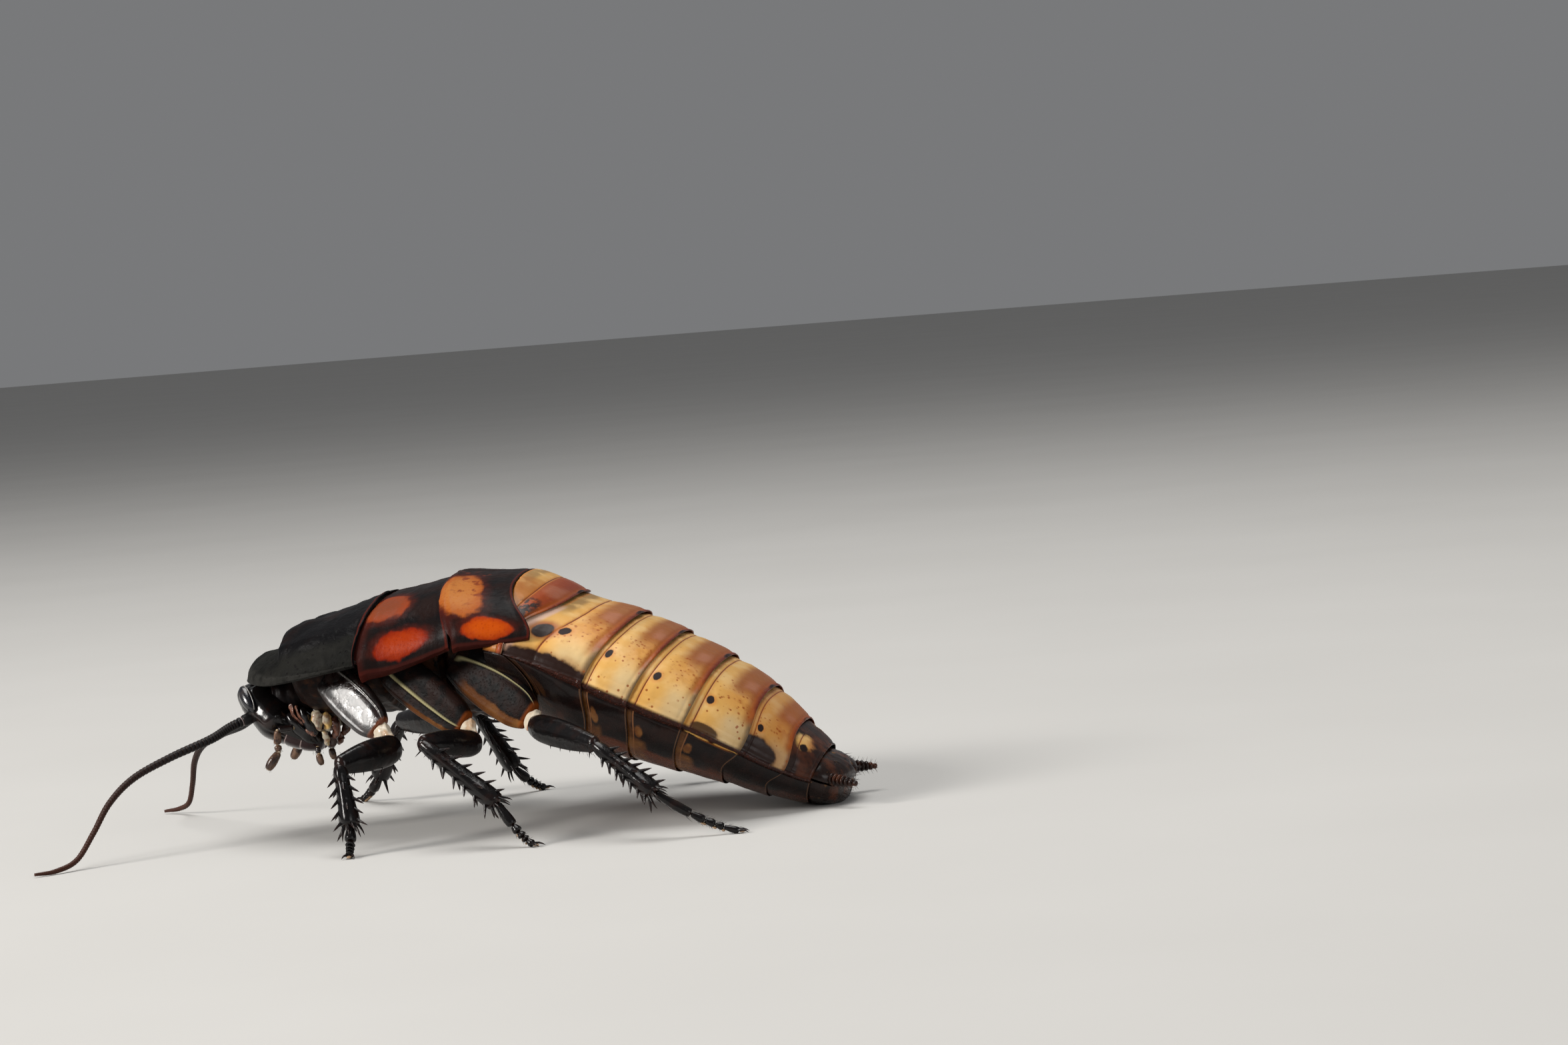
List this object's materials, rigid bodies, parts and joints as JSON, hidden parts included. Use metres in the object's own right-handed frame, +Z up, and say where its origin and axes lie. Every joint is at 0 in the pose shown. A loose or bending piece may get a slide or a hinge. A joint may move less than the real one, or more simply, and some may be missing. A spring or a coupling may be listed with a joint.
{
  "type": "madagascar hissing cockroach model",
  "caption": "Life-size still model of a standing hissing cockroach with a plated thorax, ringed abdomen, spined legs and long feelers, made in separate fitted pieces.",
  "frame": {"origin": "middle of the model's footprint, on the floor it stands on", "axes": "+X from head to tail, +Z up, and the animal's right side at +Y"},
  "size_m": [0.0802, 0.0496, 0.0255],
  "materials": {
    "black_body": "glossy black chitin",
    "dusty_shield": "dull, dusty black chitin with pits",
    "patched_plate": "black chitin with orange-red and tan patches",
    "cream_abdomen": "waxy cream chitin, tan at the edges, with brown specks",
    "dark_tail": "dark brown chitin",
    "coxa": "glossy black chitin with an orange-brown edge",
    "leg": "glossy black chitin",
    "feeler": "finely ringed, dark brown",
    "eye": "polished black",
    "mouthparts": "translucent brown"
  },
  "bodies": {
    "root": {"abdomen_1": "cream_abdomen", "abdomen_2": "cream_abdomen", "abdomen_3": "cream_abdomen", "abdomen_4": "cream_abdomen", "abdomen_5": "cream_abdomen", "abdomen_6": "cream_abdomen", "abdomen_7": "dark_tail", "antenna_left_feeler_1": "feeler", "antenna_left_feeler_2": "feeler", "antenna_left_feeler_3": "feeler", "antenna_left_scape": "feeler", "antenna_right_feeler_1": "feeler", "antenna_right_feeler_2": "feeler", "antenna_right_feeler_3": "feeler", "antenna_right_scape": "feeler", "cercus_left": "dark_tail", "cercus_right": "dark_tail", "eye_left": "eye", "eye_right": "eye", "front_leg_left_coxa": "coxa", "front_leg_left_femur": "leg", "front_leg_left_tarsus": "leg", "front_leg_left_tibia": "leg", "front_leg_right_coxa": "coxa", "front_leg_right_femur": "leg", "front_leg_right_tarsus": "leg", "front_leg_right_tibia": "leg", "head": "black_body", "hind_leg_left_coxa": "coxa", "hind_leg_left_femur": "leg", "hind_leg_left_tarsus": "leg", "hind_leg_left_tibia": "leg", "hind_leg_right_coxa": "coxa", "hind_leg_right_femur": "leg", "hind_leg_right_tarsus": "leg", "hind_leg_right_tibia": "leg", "labial_palp_left": "mouthparts", "labial_palp_right": "mouthparts", "maxillary_palp_left": "mouthparts", "maxillary_palp_right": "mouthparts", "mesonotum": "patched_plate", "mesothorax": "black_body", "metanotum": "patched_plate", "metathorax": "black_body", "mid_leg_left_coxa": "coxa", "mid_leg_left_femur": "leg", "mid_leg_left_tarsus": "leg", "mid_leg_left_tibia": "leg", "mid_leg_right_coxa": "coxa", "mid_leg_right_femur": "leg", "mid_leg_right_tarsus": "leg", "mid_leg_right_tibia": "leg", "mouthparts": "mouthparts", "neck": "black_body", "pronotum": "dusty_shield", "prothorax": "black_body", "subgenital_plate": "dark_tail", "supra_anal_plate": "dark_tail"}
  },
  "joints": []
}
